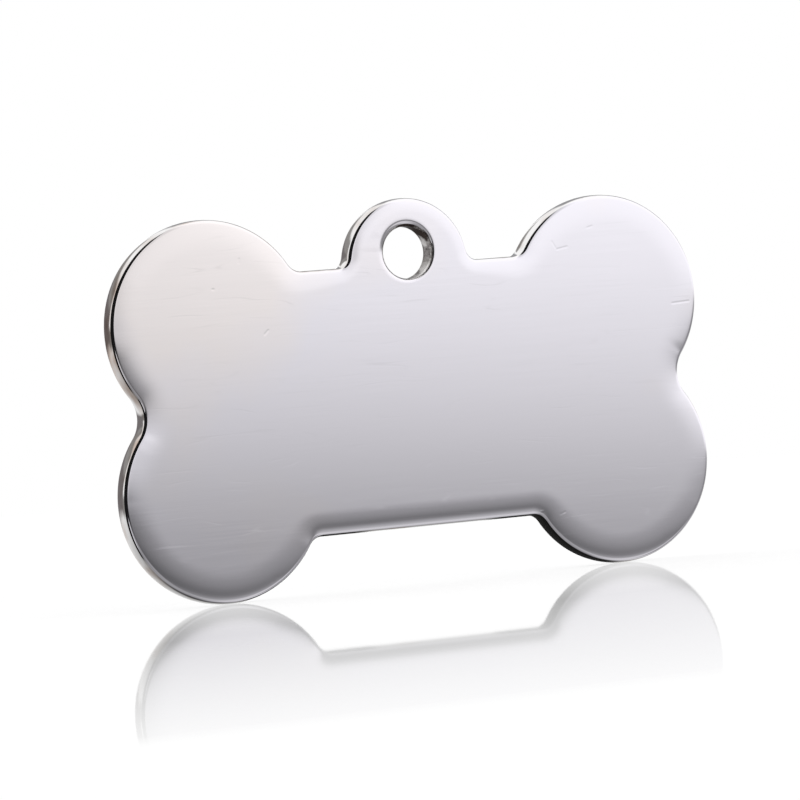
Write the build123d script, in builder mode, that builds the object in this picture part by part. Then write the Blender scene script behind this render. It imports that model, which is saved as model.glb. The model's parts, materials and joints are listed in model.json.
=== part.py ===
from build123d import *
import os

# Bone-shaped pet tag, stamped with its ear from one steel plate and rounded along every edge.
# It stands on its two lower lobes: X runs along the bone, Y through the plate, Z up to the ear.
# The front face looks along -Y, and the origin is under the ear, midway through the plate.

# Driving dimensions, in millimetres
bone_length = 50.0
bone_height = 28.9
plate_thickness = 1.8
lobe_radius = 8.1
shaft_height = 20.2
shaft_corner_radius = 1.3
end_notch_radius = 2.5
ear_radius = 5.15
ear_rise = 5.05
ear_corner_radius = 0.9
hole_diameter = 4.0
hole_top_wall = 2.2
edge_radius = 0.35
hole_edge_radius = 0.3

# Places worked out from them, measured from the middle of the bone
lobe_spacing = bone_length - 2 * lobe_radius
lobe_stacking = bone_height - 2 * lobe_radius
ear_top = shaft_height / 2 + ear_rise
ear_centre = ear_top - ear_radius
hole_centre = ear_top - hole_top_wall - hole_diameter / 2
bone_plane = Plane(origin=(0, 0, bone_height / 2), x_dir=(1, 0, 0), z_dir=(0, -1, 0))


def round_inner_corners(radius):
    # Out and back in by the radius: inner corners become arcs, and outer curves stay as they are
    offset(amount=radius, kind=Kind.INTERSECTION)
    offset(amount=-radius, kind=Kind.ARC)


with BuildPart() as tag_plate:
    with BuildSketch(bone_plane) as outline:
        # Two pairs of lobes, with a notch between the lobes of each pair
        with GridLocations(lobe_spacing, lobe_stacking, 2, 2):
            Circle(lobe_radius)
        round_inner_corners(end_notch_radius)
        # Shaft that joins the pairs
        Rectangle(lobe_spacing, shaft_height)
        round_inner_corners(shaft_corner_radius)
        # Ear on the shaft's top edge, with the hole for a ring
        with Locations((0, ear_centre)):
            Circle(ear_radius)
        round_inner_corners(ear_corner_radius)
        with Locations((0, hole_centre)):
            Circle(hole_diameter / 2, mode=Mode.SUBTRACT)
    extrude(amount=plate_thickness / 2, both=True)
    # Rounded edges, round the outline and round both mouths of the hole
    for face in tag_plate.faces().filter_by(Axis.Y):
        fillet(face.outer_wire().edges(), edge_radius)
    for face in tag_plate.faces().filter_by(Axis.Y):
        fillet(face.inner_wires()[0].edges(), hole_edge_radius)

os.makedirs("parts", exist_ok=True)
tag_plate.part.label = "tag_plate"
export_step(tag_plate.part, "parts/tag_plate.step")
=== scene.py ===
import json
import math
import bpy
from mathutils import Matrix, Vector


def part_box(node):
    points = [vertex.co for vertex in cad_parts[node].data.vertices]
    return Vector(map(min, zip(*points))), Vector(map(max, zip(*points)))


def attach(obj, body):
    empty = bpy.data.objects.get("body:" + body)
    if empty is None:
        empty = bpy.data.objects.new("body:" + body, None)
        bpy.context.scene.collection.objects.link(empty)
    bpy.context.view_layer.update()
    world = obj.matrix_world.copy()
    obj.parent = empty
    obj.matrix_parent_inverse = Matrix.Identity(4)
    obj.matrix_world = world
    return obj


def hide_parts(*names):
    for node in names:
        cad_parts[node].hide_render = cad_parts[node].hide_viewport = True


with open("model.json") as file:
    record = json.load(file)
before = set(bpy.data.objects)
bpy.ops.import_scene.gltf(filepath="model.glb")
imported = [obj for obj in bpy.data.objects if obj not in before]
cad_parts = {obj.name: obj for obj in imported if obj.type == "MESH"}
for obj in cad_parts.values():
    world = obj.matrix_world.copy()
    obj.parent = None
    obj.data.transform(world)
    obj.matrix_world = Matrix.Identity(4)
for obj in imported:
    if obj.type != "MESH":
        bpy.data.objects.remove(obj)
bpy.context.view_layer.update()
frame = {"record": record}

# Bone-shaped steel pet tag: one stamped plate, softly buffed along its border and its edge.
# The plate is drawn lying flat in millimetres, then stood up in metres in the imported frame.

MM = 0.001
low_corner, high_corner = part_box("tag_plate")
ring_hole = next(m for m in frame["record"]["mounts"] if m["name"] == "ring_hole")

# Plate, with heights measured from the middle of the bone
bone_length = (high_corner.x - low_corner.x) / MM
bone_height = 28.9
plate_thickness = (high_corner.y - low_corner.y) / MM
lobe_radius = 8.1
shaft_height = 20.2
shaft_corner_radius = 1.3
end_notch_radius = 2.5
ear_radius = 5.15
ear_corner_radius = 0.9
ear_top = high_corner.z / MM - bone_height / 2
hole_radius = ring_hole["dims"]["r_mm"]
hole_centre = ring_hole["pos_m"][2] / MM - bone_height / 2

# Rim: a soft buffed border falls away from the flat face, then come a round edge and a crowned wall
border_reach = 2.6
border_drop = 0.12
border_sharpness = 3.0
edge_radius = 0.28
wall_crown = math.radians(12.0)
# The border is narrower along the shaft and the ear, out to this many ear radii from the middle
border_narrowing = 0.57
narrowing_span = 2.3
# It falls less on the edges that face the lighter side of the buffing wheel, from this cosine on
light_buffing = 0.6
light_buffing_way = (0.53, 0.848, 0.0)
light_buffing_onset = -0.5
# It also falls less in the end notches, out to this many notch radii from their middle
notch_sparing = 0.5
notch_span = 1.8
# Mouths of the hole, whose borders lean as the punch did.
# The hole's finish also covers a share of their round edge.
mouth_reach = 0.62
mouth_drop = 0.045
mouth_radius = 0.36
mouth_crown = math.radians(2.0)
mouth_lean = (-0.2, 0.2, 0.0)
mouth_finish_share = 0.9

# Fineness of the mesh, with the shares of the half section at which its wall and its round edge end,
# and the share of its points on the wall that a face has to pass to count as wall
section_points = 57
wall_end = 0.2
edge_end = 0.6
wall_face_share = 0.75
outline_step = 0.2
fewest_steps = 3
hole_points = 128
weld_distance = 0.001
same_point = 1e-6

# Finishes, each with two tints and their patches per metre; a spot in millimetres, with the distances from
# it over which the balance of the tints changes, where a higher balance has more of the first tint; the
# buffing lines per metre each way, with their depth in millimetres; the roughness from the smoothest line to
# the roughest; and the glint that is kept at grazing angles, if not all of it
buffed_face = {
    "first": (0.888, 0.838, 0.838, 1.0), "second": (0.853, 0.832, 0.894, 1.0),
    "patches": (55.0, 55.0, 55.0),
    "spot": (-18.5, 0.0, 26.0), "reach": (5.0, 13.0), "balance": (0.75, 0.3),
    "stretch": (150.0, 150.0, 9000.0), "line_depth": 0.00018, "roughness": (0.08, 0.115)}
polished_wall = {
    "first": (0.86, 0.85, 0.85, 1.0), "second": (0.5, 0.4, 0.34, 1.0),
    "patches": (330.0, 500.0, 330.0),
    "spot": (-24.0, 0.0, 20.0), "reach": (2.0, 6.0), "balance": (0.44, 0.62),
    "stretch": (200.0, 6000.0, 200.0), "line_depth": 0.0003, "roughness": (0.08, 0.16)}
# The hole's dark second tint forms patches of dark and pale punched steel, and gathers round the spot at the
# top of the hole as painted shade
punched_hole = {
    "first": (0.86, 0.84, 0.83, 1.0), "second": (0.09, 0.072, 0.066, 1.0),
    "patches": (1300.0, 1000.0, 1300.0),
    "spot": (0.6, 0.0, 27.4), "reach": (1.0, 1.9), "balance": (0.28, 0.62),
    "stretch": (5000.0, 900.0, 5000.0), "line_depth": 0.003, "roughness": (0.2, 0.6), "glint": 0.4}
tone_margin = 0.12
fine_line_share = 0.7
broad_line_scale = 0.17
line_range = (0.3, 0.7)
edge_polish = 0.85

# Wear, with depths in millimetres
scratch_depth = 0.0002
scratch_roughness = 0.06
scratch_turns = (0.6, -0.9)
scratch_stretch = (90.0, 90.0, 700.0)
scratch_width = 0.012
scratch_breaks = 2.3
scratch_rarity = 0.56
scratch_whole = 0.75
pit_depth = 0.0015
pits_per_metre = 420.0
pit_size = 0.045
pit_chance = (0.7, 0.9)
# Nicks on the front face, by place, length and slope in degrees
nick_depth = 0.0017
nick_width = 0.15
nick_places = [
    (23.5, 20.0, 1.5, 3.0), (12.6, 25.2, 0.5, -60.0), (13.3, 24.9, 0.9, 10.0), (15.9, 26.4, 0.4, 15.0),
    (-16.5, 23.6, 0.1, 0.0), (-12.4, 20.1, 0.4, 45.0), (-14.2, 25.6, 0.3, 80.0), (9.8, 4.65, 0.2, 0.0),
    (11.55, 4.35, 0.4, 20.0)]
# Painted shade on the wall in the two lower inner corners, where the recess under the shaft lies in shade:
# even over its core and fading beyond
corner_shade_place = (10.9, 0.0, 2.7)
corner_shade_reach = 6.6
corner_shade_core = 0.7
corner_shade_color = (0.012, 0.011, 0.01, 1.0)
corner_shade_roughness = 0.9

# Camera, in degrees and millimetres
view_azimuth = -25.91
view_elevation = 0.66
view_roll = -4.56
view_distance = 330.2
view_target = (-1.04, 0.50, 14.16)
view_lens = 193.64
nearest_view = 1.0

# Studio surroundings that the steel mirrors: brightness by elevation in degrees
sky_stops = [
    (-90, 0.08), (-72, 0.16), (-58, 0.5), (-45, 0.56), (-30, 0.56), (-20, 0.56), (-15, 0.44), (-13, 0.3),
    (-11, 0.17), (-9, 0.175), (-7, 0.235), (-5, 0.295), (-3.4, 0.335), (-2.7, 0.37), (-2.3, 0.43),
    (-1.9, 0.535), (-1.4, 0.635), (-0.8, 0.755), (0, 0.825), (0.7, 0.92), (1.1, 0.97), (1.6, 1.0),
    (4, 1.03), (7, 1.05), (13, 1.1), (90, 1.1)]
# The front of the studio is darker towards the left and brighter towards the right, most of all low down
front_azimuths = (12.0, 32.0)
front_left_elevations = (-1.5, 1.5)
front_left_levels = (0.64, 1.0)
front_right_elevations = (-8.0, -2.0)
front_right_levels = (1.25, 1.08)
upper_azimuths = (14.0, 26.0)
upper_elevations = (0.0, 1.2)
upper_left_level = 0.72
# The rear is paler towards the top
rear_azimuths = (120.0, 180.0)
rear_margin = 20.0
rear_elevations = (-75.0, -24.0, 4.0)
rear_levels = (0.08, 0.6)
rear_top_gain = 0.45
# Cards by azimuth and elevation in degrees, with a margin over which they fade, and their colour
low_left_card = ((-110.0, -20.0), (-44.0, -16.0), 6.0, (0.28, 0.28, 0.28, 1.0))
low_right_card = ((52.0, 90.0), (-42.0, -14.0), 8.0, (0.3, 0.3, 0.3, 1.0))
left_glow = ((-90.0, -42.0), (-28.0, -12.0), 4.0, (0.8, 0.8, 0.8, 1.0))
side_card = ((-140.0, -90.0), (-6.0, 2.0), 4.0, (0.26, 0.25, 0.24, 1.0))
front_strip = ((-10.0, 3.0), (6.0, 30.0), 3.0, (1.05, 1.05, 1.05, 1.0))
dim_wall = ((-188.0, -140.0), (-3.0, 14.0), 5.0, (0.185, 0.17, 0.172, 1.0))
dim_wall_top = ((-188.0, -140.0), (16.0, 25.0), 4.0, (0.29, 0.28, 0.27, 1.0))
ceiling_edge = ((-250.0, -198.0), (12.0, 46.0), 4.0, (0.34, 0.34, 0.35, 1.0))
backdrop_glow = ((-218.0, -197.0), (-1.0, 9.0), 3.0, (1.42, 1.42, 1.42, 1.0))
black_flag = ((-109.0, -8.0), (-9.0, 78.0), 3.0, (0.01, 0.01, 0.01, 1.0))
# The flag's foot drops at its far end, less and less above the horizon
flag_drop = 33.0
flag_drop_azimuths = (-54.0, -62.0)
flag_drop_elevations = (0.0, 10.0)
camera_white = (1.0, 1.0, 1.0, 1.0)

# Floor, in metres: its mirror image is weaker close to the plate and towards the right, fades out in front,
# and shows only at a low slant
floor_radius = 0.25
floor_corners = 96
floor_color = (0.35, 0.35, 0.35, 1.0)
floor_glow = 0.77
mirror_color = (0.72, 0.72, 0.72, 1.0)
mirror_roughness = 0.03
mirror_reach = 0.118
mirror_end = (0.1, 0.106)
mirror_near = (0.005, 0.035)
mirror_near_share = 0.4
mirror_sides = (-0.03, 0.02)
mirror_side_shares = (0.95, 0.6)
mirror_slants = (0.7, 0.92)

GEOMETRY = "NodeSocketGeometry"
FLOAT = "NodeSocketFloat"
VECTOR = "NodeSocketVector"
COLOR = "NodeSocketColor"
MATERIAL = "NodeSocketMaterial"


def feed(tree, socket, value):
    """Links a node's output into a socket, or sets the socket's own value."""
    if isinstance(value, bpy.types.NodeSocket):
        tree.links.new(value, socket)
    else:
        socket.default_value = value


def add(tree, kind, inputs=None, **options):
    """Adds a node with its options set and its inputs fed."""
    node = tree.nodes.new(kind)
    for option, value in options.items():
        setattr(node, option, value)
    for key, value in (inputs or {}).items():
        feed(tree, node.inputs[key], value)
    return node


def calc(tree, operation, *terms):
    """Output of a Math node."""
    return add(tree, "ShaderNodeMath", dict(enumerate(terms)), operation=operation).outputs[0]


def plus(tree, first, second):
    """The sum of two numbers."""
    return calc(tree, "ADD", first, second)


def minus(tree, first, second):
    """A number less another."""
    return calc(tree, "SUBTRACT", first, second)


def times(tree, first, second):
    """The product of two numbers."""
    return calc(tree, "MULTIPLY", first, second)


def remap(tree, value, low, high, to_low, to_high, shape="LINEAR"):
    """Output of a clamped Map Range node."""
    inputs = {"Value": value, "From Min": low, "From Max": high, "To Min": to_low, "To Max": to_high}
    return add(tree, "ShaderNodeMapRange", inputs, interpolation_type=shape).outputs[0]


def window(tree, value, low, high, soft):
    """1 between two limits, falling to 0 over a soft margin outside them."""
    rising = remap(tree, value, low - soft, low, 0.0, 1.0)
    falling = remap(tree, value, high, high + soft, 1.0, 0.0)
    return times(tree, rising, falling)


def blend(tree, factor, first, second):
    """Output of a colour Mix node."""
    node = add(tree, "ShaderNodeMix", {0: factor, 6: first, 7: second}, data_type="RGBA")
    return node.outputs[2]


def vector(tree, operation, first, second):
    """Output of a Vector Math node that gives a vector."""
    return add(tree, "ShaderNodeVectorMath", {0: first, 1: second}, operation=operation).outputs[0]


def measure(tree, operation, first, second):
    """Output of a Vector Math node that gives a number."""
    return add(tree, "ShaderNodeVectorMath", {0: first, 1: second}, operation=operation).outputs["Value"]


def scaled(tree, arrow, length):
    """A vector times a number."""
    return add(tree, "ShaderNodeVectorMath", {0: arrow, "Scale": length}, operation="SCALE").outputs[0]


def split(tree, arrow):
    """The X, Y and Z of a vector."""
    return add(tree, "ShaderNodeSeparateXYZ", {0: arrow}).outputs


def joined(tree, **parts):
    """A vector from some of its X, Y and Z."""
    return add(tree, "ShaderNodeCombineXYZ", parts).outputs[0]


def compare(tree, first, operation, second):
    """Output of a Compare node for two numbers."""
    return add(tree, "FunctionNodeCompare", {"A": first, "B": second}, operation=operation).outputs[0]


def noise(tree, place, detail, scale=1.0):
    """Output of a Noise Texture node, from 0 to 1."""
    return add(tree, "ShaderNodeTexNoise", {"Vector": place, "Scale": scale, "Detail": detail}).outputs["Fac"]


def keep(tree, geometry, name, value, data_type="FLOAT"):
    """Geometry with a value stored on its points under a name."""
    node = add(tree, "GeometryNodeStoreNamedAttribute", data_type=data_type)
    for key, content in (("Geometry", geometry), ("Name", name), ("Value", value)):
        feed(tree, node.inputs[key], content)
    return node.outputs[0]


def kept(tree, name, data_type="FLOAT"):
    """The value stored on the points under a name."""
    return add(tree, "GeometryNodeInputNamedAttribute", {"Name": name}, data_type=data_type).outputs[0]


def group(name, kind, inputs, outputs):
    """Node group with named sockets: the tree, its inputs and its output node."""
    tree = bpy.data.node_groups.new(name, kind)
    for way, sockets in (("INPUT", inputs), ("OUTPUT", outputs)):
        for label, socket_type in sockets.items():
            tree.interface.new_socket(name=label, in_out=way, socket_type=socket_type)
    return tree, tree.nodes.new("NodeGroupInput").outputs, tree.nodes.new("NodeGroupOutput")


def in_metres(place):
    """A place in millimetres as one in metres."""
    return [v * MM for v in place]


def arc(centre, radius, start, end):
    """Points along an arc from one angle to another."""
    count = max(fewest_steps, math.ceil(abs(end - start) * radius / outline_step))
    turns = [start + (end - start) * i / count for i in range(count + 1)]
    return [(centre[0] + radius * math.cos(t), centre[1] + radius * math.sin(t)) for t in turns]


def heading(a, b):
    """Angle of the direction from one point to another."""
    return math.atan2(b[1] - a[1], b[0] - a[0])


def bone_outline():
    """The plate's edge, counter-clockwise about the middle of the bone."""
    half_shaft = shaft_height / 2
    lobe = (bone_length / 2 - lobe_radius, bone_height / 2 - lobe_radius)
    notch = (lobe[0] + math.sqrt((lobe_radius + end_notch_radius) ** 2 - lobe[1] ** 2), 0.0)
    corner_rise = half_shaft + shaft_corner_radius
    corner_run = math.sqrt((lobe_radius + shaft_corner_radius) ** 2 - (corner_rise - lobe[1]) ** 2)
    corner = (lobe[0] - corner_run, corner_rise)
    ear = (0.0, ear_top - ear_radius)
    ear_corner_rise = half_shaft + ear_corner_radius
    ear_run = math.sqrt((ear_radius + ear_corner_radius) ** 2 - (ear_corner_rise - ear[1]) ** 2)
    ear_corner = (ear_run, ear_corner_rise)
    down = -math.pi / 2
    # Upper right quarter, from the middle of the end notch to the shaft, then half of the ear
    quarter = arc(notch, end_notch_radius, math.pi, heading(notch, lobe))
    quarter += arc(lobe, lobe_radius, heading(lobe, notch), heading(lobe, corner))
    quarter += arc(corner, shaft_corner_radius, heading(corner, lobe), down)
    half_ear = arc(ear_corner, ear_corner_radius, down, heading(ear_corner, ear))
    half_ear += arc(ear, ear_radius, heading(ear, ear_corner), math.pi / 2)
    upper_right = quarter + half_ear
    points = upper_right + [(-x, y) for x, y in reversed(upper_right)]
    points += [(-x, -y) for x, y in quarter] + [(x, -y) for x, y in reversed(quarter)]
    # Neighbouring arcs share their end points, which are kept once
    return [p for p, before in zip(points, points[-1:] + points) if math.dist(p, before) > same_point]


def rolled_rim():
    """Group that sweeps the rim section along a path, with the metal on the left of the path."""
    sizes = {"Path": GEOMETRY, "Thickness": FLOAT, "Reach": FLOAT, "Drop": FLOAT, "Radius": FLOAT,
             "Crown": FLOAT, "Lean": VECTOR}
    tree, given, result = group("rolled_rim", "GeometryNodeTree", sizes, {"Rim": GEOMETRY})
    reach, depth, radius, crown = (given[label] for label in ("Reach", "Drop", "Radius", "Crown"))
    line = add(tree, "GeometryNodeCurvePrimitiveLine", {"End": (1.0, 0.0, 0.0)})
    row = add(tree, "GeometryNodeResampleCurve", {"Curve": line.outputs[0], "Count": section_points})
    along = add(tree, "GeometryNodeSplineParameter").outputs["Factor"]
    # The section runs both ways from the middle of the wall
    side = calc(tree, "SIGN", minus(tree, 0.5, along))
    from_middle = calc(tree, "ABSOLUTE", calc(tree, "MULTIPLY_ADD", along, 2.0, -1.0))
    # Crowned wall
    up_wall = remap(tree, from_middle, 0.0, wall_end, 0.0, 1.0)
    half = times(tree, given["Thickness"], 0.5)
    crown_sine = calc(tree, "SINE", crown)
    crown_cosine = calc(tree, "COSINE", crown)
    edge_height = times(tree, radius, minus(tree, 1.0, crown_sine))
    wall_height = minus(tree, minus(tree, half, depth), edge_height)
    bulge = times(tree, times(tree, wall_height, 0.5), calc(tree, "TANGENT", crown))
    wall_run = times(tree, bulge, times(tree, up_wall, up_wall))
    # Round edge
    steepest = minus(tree, math.pi / 2, crown)
    turn = remap(tree, from_middle, wall_end, edge_end, steepest, 0.0)
    edge_run = times(tree, radius, minus(tree, crown_cosine, calc(tree, "SINE", turn)))
    edge_fall = times(tree, radius, minus(tree, 1.0, calc(tree, "COSINE", turn)))
    edge_width = calc(tree, "MULTIPLY_ADD", radius, crown_cosine, bulge)
    # Buffed border
    run = remap(tree, from_middle, edge_end, 1.0, 0.0, 1.0)
    border_run = times(tree, run, minus(tree, reach, edge_width))
    inward = plus(tree, plus(tree, wall_run, edge_run), border_run)
    share = calc(tree, "DIVIDE", inward, reach)
    drop = times(tree, calc(tree, "POWER", minus(tree, 1.0, share), border_sharpness), depth)
    height = minus(tree, minus(tree, half, drop), edge_fall)
    across = times(tree, side, times(tree, up_wall, height))
    place = joined(tree, X=times(tree, inward, -1.0), Y=across)
    # The section's Y axis points down in the swept rim
    lift = times(tree, times(tree, side, -1.0), times(tree, up_wall, drop))
    marked = keep(tree, row.outputs[0], "border", share)
    marked = keep(tree, marked, "border_run", border_run)
    marked = keep(tree, marked, "wall", calc(tree, "LESS_THAN", from_middle, (wall_end + edge_end) / 2))
    marked = keep(tree, marked, "border_lift", lift)
    section = add(tree, "GeometryNodeSetPosition", {"Geometry": marked, "Position": place})
    level = add(tree, "GeometryNodeSetCurveNormal", {"Curve": given["Path"]}, mode="Z_UP")
    tangent = add(tree, "GeometryNodeInputTangent").outputs[0]
    path = keep(tree, level.outputs[0], "heading", tangent, "FLOAT_VECTOR")
    swept = add(tree, "GeometryNodeCurveToMesh", {"Curve": path, "Profile Curve": section.outputs[0]})
    turned = add(tree, "GeometryNodeFlipFaces", {"Mesh": swept.outputs[0]})
    # The border draws back to the edge where it narrows, falls less where it is spared, and leans
    outward = vector(tree, "CROSS_PRODUCT", kept(tree, "heading", "FLOAT_VECTOR"), (0.0, 0.0, 1.0))
    draw_back = times(tree, kept(tree, "border_run"), kept(tree, "narrowing"))
    rise = times(tree, kept(tree, "border_lift"), kept(tree, "spared"))
    shift = vector(tree, "ADD", scaled(tree, outward, draw_back), scaled(tree, (0.0, 0.0, 1.0), rise))
    shift = vector(tree, "ADD", shift, scaled(tree, given["Lean"], kept(tree, "border")))
    moved = add(tree, "GeometryNodeSetPosition", {"Geometry": turned.outputs[0], "Offset": shift})
    feed(tree, result.inputs["Rim"], moved.outputs[0])
    return tree


def buffed_outline(tree, given, spot):
    """The outline, with how far its border narrows and how much of its fall is spared at each point."""
    parts = split(tree, spot)
    narrow_end = times(tree, given["Ear Radius"], narrowing_span)
    sideways = calc(tree, "ABSOLUTE", parts["X"])
    shaft_share = remap(tree, sideways, given["Ear Radius"], narrow_end, 1.0, 0.0, "SMOOTHSTEP")
    outline = keep(tree, given["Outline"], "narrowing", times(tree, given["Ear Narrowing"], shaft_share))
    tangent = add(tree, "GeometryNodeInputTangent").outputs[0]
    outward = vector(tree, "CROSS_PRODUCT", tangent, (0.0, 0.0, 1.0))
    facing = measure(tree, "DOT_PRODUCT", outward, given["Light Way"])
    light_share = remap(tree, facing, light_buffing_onset, 0.0, 0.0, 1.0)
    notch_end = times(tree, given["Notch Radius"], notch_span)
    upwards = calc(tree, "ABSOLUTE", parts["Y"])
    notch_share = remap(tree, upwards, 0.0, notch_end, 1.0, 0.0, "SMOOTHSTEP")
    spared_lightly = times(tree, given["Light Buffing"], light_share)
    spared_in_notch = times(tree, given["Notch Sparing"], notch_share)
    return keep(tree, outline, "spared", calc(tree, "MAXIMUM", spared_lightly, spared_in_notch))


def closed_plate(tree, rims, spot, half_thickness):
    """The rims with two flat faces between their inner ends, welded and smooth."""
    # An edge at the inner end of a rim has one face
    faces_beside = add(tree, "GeometryNodeInputMeshEdgeNeighbors").outputs[0]
    open_edge = compare(tree, faces_beside, "EQUAL", 1.0)
    in_front = compare(tree, split(tree, spot)["Z"], "GREATER_THAN", 0.0)
    front_edge = add(tree, "FunctionNodeBooleanMath", {0: open_edge, 1: in_front}, operation="AND").outputs[0]
    loops = add(tree, "GeometryNodeMeshToCurve", {"Mesh": rims, "Selection": front_edge})
    filled = add(tree, "GeometryNodeFillCurve", {"Curve": loops.outputs[0]}, mode="TRIANGLES")
    face = keep(tree, filled.outputs[0], "border", 1.0)
    whole = add(tree, "GeometryNodeJoinGeometry")
    feed(tree, whole.inputs[0], rims)
    for way in (1.0, -1.0):
        lift = joined(tree, Z=times(tree, half_thickness, way))
        moved = add(tree, "GeometryNodeTransform", {"Geometry": face, "Translation": lift})
        if way < 0:
            moved = add(tree, "GeometryNodeFlipFaces", {"Mesh": moved.outputs[0]})
        feed(tree, whole.inputs[0], moved.outputs[0])
    weld = {"Geometry": whole.outputs[0], "Distance": weld_distance}
    welded = add(tree, "GeometryNodeMergeByDistance", weld)
    return add(tree, "GeometryNodeSetShadeSmooth", {"Geometry": welded.outputs[0]}).outputs[0]


def stamped_plate():
    """Tree that rolls and closes the rims of the outline and the hole, and stands the plate up in metres."""
    sizes = {"Outline": GEOMETRY, "Thickness": FLOAT, "Border Reach": FLOAT, "Border Drop": FLOAT,
             "Edge Radius": FLOAT, "Wall Crown": FLOAT, "Ear Radius": FLOAT, "Ear Narrowing": FLOAT,
             "Notch Radius": FLOAT, "Notch Sparing": FLOAT, "Light Buffing": FLOAT, "Light Way": VECTOR,
             "Hole Radius": FLOAT, "Hole Centre": VECTOR, "Mouth Reach": FLOAT, "Mouth Drop": FLOAT,
             "Mouth Radius": FLOAT, "Mouth Crown": FLOAT, "Mouth Lean": VECTOR, "Middle Height": FLOAT,
             "Face Steel": MATERIAL, "Wall Steel": MATERIAL, "Hole Steel": MATERIAL}
    tree, given, result = group("stamped_plate", "GeometryNodeTree", sizes, {"Plate": GEOMETRY})
    spot = add(tree, "GeometryNodeInputPosition").outputs[0]
    circle = {"Resolution": hole_points, "Radius": given["Hole Radius"]}
    ring = add(tree, "GeometryNodeCurvePrimitiveCircle", circle).outputs[0]
    in_ear = {"Geometry": ring, "Translation": given["Hole Centre"]}
    ring = add(tree, "GeometryNodeTransform", in_ear).outputs[0]
    ring = add(tree, "GeometryNodeReverseCurve", {"Curve": ring}).outputs[0]
    rim_group = rolled_rim()
    edge = add(tree, "GeometryNodeGroup", node_tree=rim_group)
    mouth = add(tree, "GeometryNodeGroup", node_tree=rim_group)
    for rim, words in ((edge, ("Border Reach", "Border Drop", "Edge Radius", "Wall Crown")),
                       (mouth, ("Mouth Reach", "Mouth Drop", "Mouth Radius", "Mouth Crown"))):
        feed(tree, rim.inputs["Thickness"], given["Thickness"])
        for label, word in zip(("Reach", "Drop", "Radius", "Crown"), words):
            feed(tree, rim.inputs[label], given[word])
    feed(tree, edge.inputs["Path"], buffed_outline(tree, given, spot))
    feed(tree, mouth.inputs["Path"], ring)
    feed(tree, mouth.inputs["Lean"], given["Mouth Lean"])
    rims = add(tree, "GeometryNodeJoinGeometry")
    feed(tree, rims.inputs[0], edge.outputs[0])
    feed(tree, rims.inputs[0], mouth.outputs[0])
    shape = closed_plate(tree, rims.outputs[0], spot, times(tree, given["Thickness"], 0.5))
    shape = add(tree, "GeometryNodeRealizeInstances", {"Geometry": shape}).outputs[0]
    # Finishes: the whole plate, then its walls, then the hole with part of its mouths
    on_wall = compare(tree, kept(tree, "wall"), "GREATER_THAN", wall_face_share)
    from_hole = measure(tree, "DISTANCE", spot, given["Hole Centre"])
    mouth_end = calc(tree, "MULTIPLY_ADD", given["Mouth Radius"], mouth_finish_share, given["Hole Radius"])
    in_mouth = compare(tree, from_hole, "LESS_THAN", mouth_end)
    for steel_name, chosen in (("Face Steel", True), ("Wall Steel", on_wall), ("Hole Steel", in_mouth)):
        inputs = {"Geometry": shape, "Selection": chosen, "Material": given[steel_name]}
        shape = add(tree, "GeometryNodeSetMaterial", inputs).outputs[0]
    for spare in ("border_run", "border_lift", "wall", "heading", "narrowing", "spared"):
        shape = add(tree, "GeometryNodeRemoveAttribute", {"Geometry": shape, "Name": spare}).outputs[0]
    upright = {"Geometry": shape, "Translation": joined(tree, Z=given["Middle Height"]),
               "Rotation": (math.pi / 2, 0.0, 0.0), "Scale": (MM, MM, MM)}
    stood = add(tree, "GeometryNodeTransform", upright)
    feed(tree, result.inputs["Plate"], stood.outputs[0])
    return tree


def buffing_lines():
    """Group of fine parallel lines left by buffing, from 0 to 1. Stretch is the lines per metre each way."""
    sockets = {"Coordinates": VECTOR, "Stretch": VECTOR}
    tree, given, result = group("buffing_lines", "ShaderNodeTree", sockets, {"Lines": FLOAT})
    place = vector(tree, "MULTIPLY", given["Coordinates"], given["Stretch"])
    fine = noise(tree, place, detail=3.0)
    broad = noise(tree, place, detail=2.0, scale=broad_line_scale)
    mixed = calc(tree, "MULTIPLY_ADD", fine, fine_line_share, times(tree, broad, 1.0 - fine_line_share))
    feed(tree, result.inputs["Lines"], mixed)
    return tree


def steel_tone():
    """Group that drifts between two tints of steel. Patches is their number per metre each way."""
    sockets = {"Coordinates": VECTOR, "Patches": VECTOR, "Balance": FLOAT, "First": COLOR, "Second": COLOR}
    tree, given, result = group("steel_tone", "ShaderNodeTree", sockets, {"Color": COLOR})
    place = vector(tree, "MULTIPLY", given["Coordinates"], given["Patches"])
    drift = minus(tree, noise(tree, place, detail=3.0), given["Balance"])
    share = remap(tree, drift, -tone_margin, tone_margin, 0.0, 1.0)
    feed(tree, result.inputs["Color"], blend(tree, share, given["First"], given["Second"]))
    return tree


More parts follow.
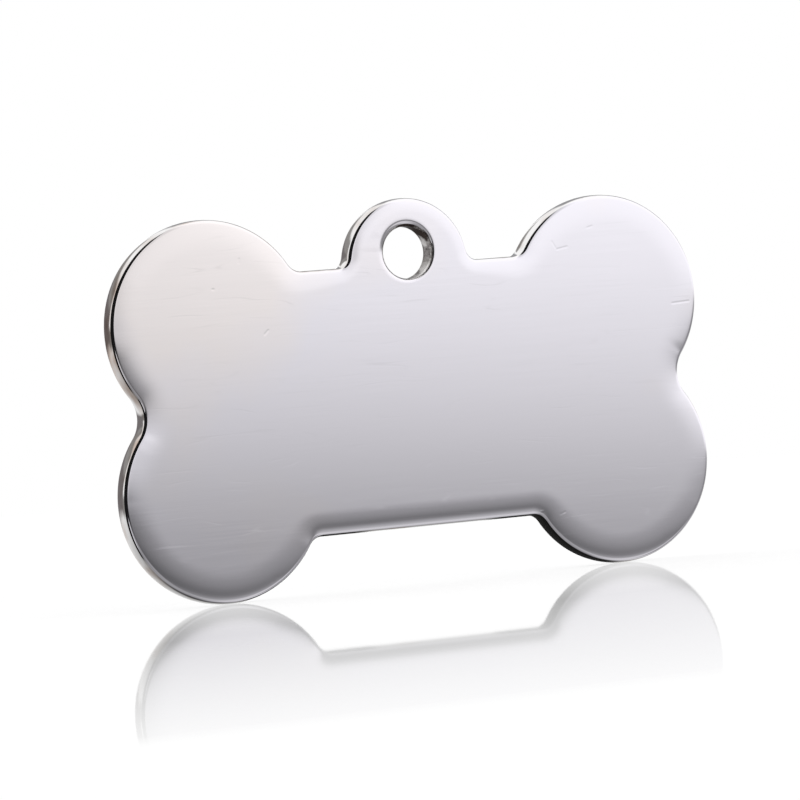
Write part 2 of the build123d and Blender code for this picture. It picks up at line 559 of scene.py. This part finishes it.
def handling_marks():
    """Group of sparse hairline scratches and small pits, from 0 to 1. Cells is the pits' grid per metre."""
    sockets = {"Coordinates": VECTOR, "Cells": FLOAT, "Rarity": FLOAT}
    outputs = {"Scratches": FLOAT, "Pits": FLOAT}
    tree, given, result = group("handling_marks", "ShaderNodeTree", sockets, outputs)
    scratches = 0.0
    for angle in scratch_turns:
        inputs = {"Vector": given["Coordinates"], "Rotation": (0.0, angle, 0.0), "Scale": scratch_stretch}
        turned = add(tree, "ShaderNodeMapping", inputs).outputs[0]
        # A hairline runs where a slow noise passes its middle, and shows only in places
        from_line = calc(tree, "ABSOLUTE", minus(tree, noise(tree, turned, detail=1.0), 0.5))
        line = remap(tree, from_line, 0.0, scratch_width, 1.0, 0.0)
        where = noise(tree, turned, detail=0.0, scale=scratch_breaks)
        shown = remap(tree, where, given["Rarity"], scratch_whole, 0.0, 1.0)
        scratches = calc(tree, "MAXIMUM", scratches, times(tree, line, shown))
    grid = {"Vector": given["Coordinates"], "Scale": given["Cells"]}
    cell = add(tree, "ShaderNodeTexVoronoi", grid).outputs
    chosen = remap(tree, split(tree, cell["Color"])["X"], *pit_chance, 0.0, 1.0)
    pits = times(tree, remap(tree, cell["Distance"], 0.0, pit_size, 1.0, 0.0), chosen)
    feed(tree, result.inputs["Scratches"], scratches)
    feed(tree, result.inputs["Pits"], pits)
    return tree


def front_nicks():
    """Group of the few larger nicks on the front face, from 0 to 1."""
    tree, given, result = group("front_nicks", "ShaderNodeTree", {"Coordinates": VECTOR}, {"Nicks": FLOAT})
    nicks = 0.0
    for x, z, length, angle in nick_places:
        inputs = {"Vector": given["Coordinates"], "Location": in_metres((x, 0.0, z)),
                  "Rotation": (0.0, -math.radians(angle), 0.0)}
        parts = split(tree, add(tree, "ShaderNodeMapping", inputs, vector_type="TEXTURE").outputs[0])
        beyond = minus(tree, calc(tree, "ABSOLUTE", parts["X"]), length / 2 * MM)
        past_end = calc(tree, "MAXIMUM", beyond, 0.0)
        squares = plus(tree, times(tree, past_end, past_end), times(tree, parts["Z"], parts["Z"]))
        nick = remap(tree, calc(tree, "SQRT", squares), 0.0, nick_width * MM, 1.0, 0.0, "SMOOTHSTEP")
        nicks = calc(tree, "MAXIMUM", nicks, nick)
    in_front = calc(tree, "LESS_THAN", split(tree, given["Coordinates"])["Y"], 0.0)
    feed(tree, result.inputs["Nicks"], times(tree, nicks, in_front))
    return tree


def painted_corner_shade():
    """Group of the painted shade in the two lower inner corners, from 0 to 1."""
    sockets = {"Coordinates": VECTOR, "Place": VECTOR, "Reach": FLOAT}
    tree, given, result = group("painted_corner_shade", "ShaderNodeTree", sockets, {"Corner Shade": FLOAT})
    parts = split(tree, given["Coordinates"])
    folded = joined(tree, X=calc(tree, "ABSOLUTE", parts["X"]), Z=parts["Z"])
    share = calc(tree, "DIVIDE", measure(tree, "DISTANCE", folded, given["Place"]), given["Reach"])
    feed(tree, result.inputs["Corner Shade"], remap(tree, share, corner_shade_core, 1.0, 1.0, 0.0, "SMOOTHSTEP"))
    return tree


def place_group(tree, node_tree, **inputs):
    """Outputs of a node group placed in a tree with its inputs fed."""
    node = add(tree, "ShaderNodeGroup", node_tree=node_tree)
    for key, value in inputs.items():
        feed(tree, node.inputs[key], value)
    return node.outputs


def empty_material(name):
    """A new material and its node tree, with nothing in it."""
    material = bpy.data.materials.new(name)
    material.use_nodes = True
    material.node_tree.nodes.clear()
    return material, material.node_tree


def steel(name, first, second, patches, spot, reach, balance, stretch, line_depth, roughness,
          glint=1.0, nicked=False, corner_shaded=False):
    """Polished steel whose tint drifts outwards from a spot, with its own buffing direction."""
    material, tree = empty_material(name)
    place = add(tree, "ShaderNodeTexCoord").outputs["Object"]
    away = measure(tree, "DISTANCE", place, in_metres(spot))
    balance_here = remap(tree, away, *in_metres(reach), *balance)
    tone = place_group(tree, tone_group, Coordinates=place, Patches=patches, Balance=balance_here,
                       First=first, Second=second)
    lines = place_group(tree, lines_group, Coordinates=place, Stretch=stretch)["Lines"]
    marks = place_group(tree, marks_group, Coordinates=place, Cells=pits_per_metre, Rarity=scratch_rarity)
    scratched = times(tree, marks["Scratches"], scratch_depth)
    dents = calc(tree, "MULTIPLY_ADD", marks["Pits"], pit_depth, scratched)
    if nicked:
        nicks = place_group(tree, nicks_group, Coordinates=place)["Nicks"]
        dents = calc(tree, "MULTIPLY_ADD", nicks, nick_depth, dents)
    height = minus(tree, times(tree, lines, line_depth), dents)
    relief = add(tree, "ShaderNodeBump", {"Height": height, "Strength": 1.0, "Distance": MM})
    # Buffed a little brighter towards the edge
    inside = add(tree, "ShaderNodeAttribute", attribute_name="border").outputs["Fac"]
    polish = remap(tree, inside, 0.0, 1.0, edge_polish, 1.0)
    rough = times(tree, remap(tree, lines, *line_range, *roughness), polish)
    rough = calc(tree, "MULTIPLY_ADD", marks["Scratches"], scratch_roughness, rough)
    color = tone["Color"]
    metallic = 1.0
    # Painted shade: the wall turns near black, dull and not metallic in the lower inner corners
    if corner_shaded:
        corner_shade = place_group(tree, corner_shade_group, Coordinates=place, Place=in_metres(corner_shade_place),
                              Reach=corner_shade_reach * MM)["Corner Shade"]
        color = blend(tree, corner_shade, color, corner_shade_color)
        metallic = minus(tree, 1.0, corner_shade)
        rough = calc(tree, "MULTIPLY_ADD", corner_shade, minus(tree, corner_shade_roughness, rough), rough)
    surface = add(tree, "ShaderNodeBsdfPrincipled", {
        "Base Color": color, "Metallic": metallic, "Roughness": rough,
        "Specular Tint": (glint, glint, glint, 1.0), "Normal": relief.outputs["Normal"]})
    output = add(tree, "ShaderNodeOutputMaterial")
    feed(tree, output.inputs["Surface"], surface.outputs[0])
    return material


def make_plate(materials):
    """Bakes the stamped plate to one plain mesh."""
    curve = bpy.data.curves.new("plate_outline", "CURVE")
    curve.dimensions = "3D"
    spline = curve.splines.new("POLY")
    points = bone_outline()
    spline.points.add(len(points) - 1)
    for point, (x, y) in zip(spline.points, points):
        point.co = (x, y, 0.0, 1.0)
    spline.use_cyclic_u = True
    drawn = bpy.data.objects.new("plate_outline", curve)
    bpy.context.scene.collection.objects.link(drawn)
    tree = stamped_plate()
    modifier = drawn.modifiers.new("stamped_plate", "NODES")
    modifier.node_group = tree
    values = {
        "Thickness": plate_thickness, "Border Reach": border_reach, "Border Drop": border_drop,
        "Edge Radius": edge_radius, "Wall Crown": wall_crown,
        "Ear Radius": ear_radius, "Ear Narrowing": border_narrowing,
        "Notch Radius": end_notch_radius, "Notch Sparing": notch_sparing,
        "Light Buffing": light_buffing, "Light Way": light_buffing_way,
        "Hole Radius": hole_radius, "Hole Centre": (0.0, hole_centre, 0.0),
        "Mouth Reach": mouth_reach, "Mouth Drop": mouth_drop, "Mouth Radius": mouth_radius,
        "Mouth Crown": mouth_crown, "Mouth Lean": mouth_lean,
        "Middle Height": bone_height / 2 * MM, **materials}
    for socket in tree.interface.items_tree:
        if socket.in_out == "INPUT" and socket.name in values:
            modifier[socket.identifier] = values[socket.name]
    graph = bpy.context.evaluated_depsgraph_get()
    mesh = bpy.data.meshes.new_from_object(drawn.evaluated_get(graph))
    mesh.name = "buffed_plate"
    # The curve's own empty slot comes first
    mesh.materials.pop(index=0)
    drawn.modifiers.remove(modifier)
    bpy.data.objects.remove(drawn)
    bpy.data.curves.remove(curve)
    plate = bpy.data.objects.new("buffed_plate", mesh)
    bpy.context.scene.collection.objects.link(plate)
    return plate


def photograph_camera():
    """Camera at the photograph's viewing angle."""
    azimuth, elevation, roll = (math.radians(a) for a in (view_azimuth, view_elevation, view_roll))
    flat = math.cos(elevation)
    back = Vector((math.sin(azimuth) * flat, -math.cos(azimuth) * flat, math.sin(elevation)))
    right = Vector((0.0, 0.0, 1.0)).cross(back).normalized()
    up = back.cross(right)
    turned_right = right * math.cos(roll) + up * math.sin(roll)
    turned_up = up * math.cos(roll) - right * math.sin(roll)
    data = bpy.data.cameras.new("camera")
    data.lens = view_lens
    data.clip_start = nearest_view * MM
    camera = bpy.data.objects.new("camera", data)
    place = Matrix((turned_right, turned_up, back)).transposed().to_4x4()
    place.translation = (Vector(view_target) + back * view_distance) * MM
    camera.matrix_world = place
    bpy.context.scene.collection.objects.link(camera)
    bpy.context.scene.camera = camera


def card(tree, seen, azimuth, elevation, azimuths, elevations, margin, color):
    """Lays a soft-edged card over part of the surroundings."""
    sideways = window(tree, azimuth, *azimuths, margin)
    upright = window(tree, elevation, *elevations, margin)
    return blend(tree, times(tree, sideways, upright), seen, color)


def studio_world():
    """White to the camera, and to the steel a soft vertical gradient with cards and a black flag."""
    world = bpy.data.worlds.new("studio")
    bpy.context.scene.world = world
    world.use_nodes = True
    tree = world.node_tree
    tree.nodes.clear()
    parts = split(tree, add(tree, "ShaderNodeTexCoord").outputs["Generated"])
    elevation = calc(tree, "DEGREES", calc(tree, "ARCSINE", parts["Z"]))
    azimuth = calc(tree, "DEGREES", calc(tree, "ARCTAN2", parts["X"], times(tree, parts["Y"], -1.0)))
    ramp = add(tree, "ShaderNodeValToRGB", {"Fac": remap(tree, elevation, -90.0, 90.0, 0.0, 1.0)})
    stops = ramp.color_ramp.elements
    while len(stops) < len(sky_stops):
        stops.new(0.5)
    for stop, (angle, level) in zip(stops, sky_stops):
        stop.position = (angle + 90) / 180
        stop.color = (level, level, level, 1.0)
    left_level = remap(tree, elevation, *front_left_elevations, *front_left_levels)
    right_level = remap(tree, elevation, *front_right_elevations, *front_right_levels)
    front_level = remap(tree, azimuth, *front_azimuths, left_level, right_level)
    upper_level = remap(tree, elevation, *upper_elevations, 1.0, upper_left_level)
    front_level = times(tree, front_level, remap(tree, azimuth, *upper_azimuths, upper_level, 1.0))
    seen = scaled(tree, ramp.outputs["Color"], front_level)
    rear_low, rear_middle, rear_high = rear_elevations
    rear_level = plus(tree, remap(tree, elevation, rear_low, rear_middle, *rear_levels),
                      remap(tree, elevation, rear_middle, rear_high, 0.0, rear_top_gain))
    rear = window(tree, calc(tree, "ABSOLUTE", azimuth), *rear_azimuths, rear_margin)
    seen = blend(tree, rear, seen, scaled(tree, (1.0, 1.0, 1.0), rear_level))
    # Azimuth from -270 to 90, so that cards can cross the rear
    around = calc(tree, "WRAP", azimuth, 90.0, -270.0)
    for sheet in (low_left_card, low_right_card, left_glow, side_card, front_strip, dim_wall, dim_wall_top,
                  ceiling_edge, backdrop_glow):
        seen = card(tree, seen, around, elevation, *sheet)
    drop = remap(tree, azimuth, *flag_drop_azimuths, 0.0, flag_drop)
    foot = times(tree, drop, remap(tree, elevation, *flag_drop_elevations, 1.0, 0.0))
    seen = card(tree, seen, around, plus(tree, elevation, foot), *black_flag)
    camera_ray = add(tree, "ShaderNodeLightPath").outputs["Is Camera Ray"]
    shown = blend(tree, camera_ray, seen, camera_white)
    background = add(tree, "ShaderNodeBackground", {"Color": shown, "Strength": 1.0})
    output = add(tree, "ShaderNodeOutputWorld")
    feed(tree, output.inputs["Surface"], background.outputs[0])


def pale_floor():
    """White floor that keeps a soft shadow and a faint mirror image, which fades towards the front."""
    material, tree = empty_material("pale_floor")
    spot = split(tree, add(tree, "ShaderNodeTexCoord").outputs["Object"])
    ahead = calc(tree, "ABSOLUTE", spot["Y"])
    fade = remap(tree, ahead, 0.0, mirror_reach, 1.0, 0.0)
    fade = times(tree, fade, remap(tree, ahead, *mirror_end, 1.0, 0.0))
    fade = times(tree, fade, remap(tree, spot["X"], *mirror_sides, *mirror_side_shares))
    fade = times(tree, fade, remap(tree, ahead, *mirror_near, mirror_near_share, 1.0))
    facing = add(tree, "ShaderNodeLayerWeight").outputs["Facing"]
    share = times(tree, fade, remap(tree, facing, *mirror_slants, 0.0, 1.0))
    camera_ray = add(tree, "ShaderNodeLightPath").outputs["Is Camera Ray"]
    lit = add(tree, "ShaderNodeBsdfDiffuse", {"Color": floor_color})
    glow = add(tree, "ShaderNodeEmission", {"Strength": times(tree, camera_ray, floor_glow)})
    base = add(tree, "ShaderNodeAddShader", {0: lit.outputs[0], 1: glow.outputs[0]})
    mirror = add(tree, "ShaderNodeBsdfGlossy", {"Color": mirror_color, "Roughness": mirror_roughness})
    mixed = add(tree, "ShaderNodeMixShader", {0: share, 1: base.outputs[0], 2: mirror.outputs[0]})
    output = add(tree, "ShaderNodeOutputMaterial")
    feed(tree, output.inputs["Surface"], mixed.outputs[0])
    turns = [2 * math.pi * i / floor_corners for i in range(floor_corners)]
    corners = [(floor_radius * math.cos(t), floor_radius * math.sin(t), 0.0) for t in turns]
    mesh = bpy.data.meshes.new("pale_floor")
    mesh.from_pydata(corners, [], [range(floor_corners)])
    mesh.materials.append(material)
    floor = bpy.data.objects.new("pale_floor", mesh)
    bpy.context.scene.collection.objects.link(floor)
    # The steel mirrors the lower surroundings in its place
    floor.visible_glossy = False


bpy.context.scene.view_settings.view_transform = "Standard"
tone_group = steel_tone()
lines_group = buffing_lines()
marks_group = handling_marks()
nicks_group = front_nicks()
corner_shade_group = painted_corner_shade()
finishes = {
    "Face Steel": steel("buffed_face", **buffed_face, nicked=True),
    "Wall Steel": steel("polished_wall", **polished_wall, corner_shaded=True),
    "Hole Steel": steel("punched_hole", **punched_hole),
}
plate = make_plate(finishes)
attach(plate, "root")
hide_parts("tag_plate")
pale_floor()
studio_world()
photograph_camera()
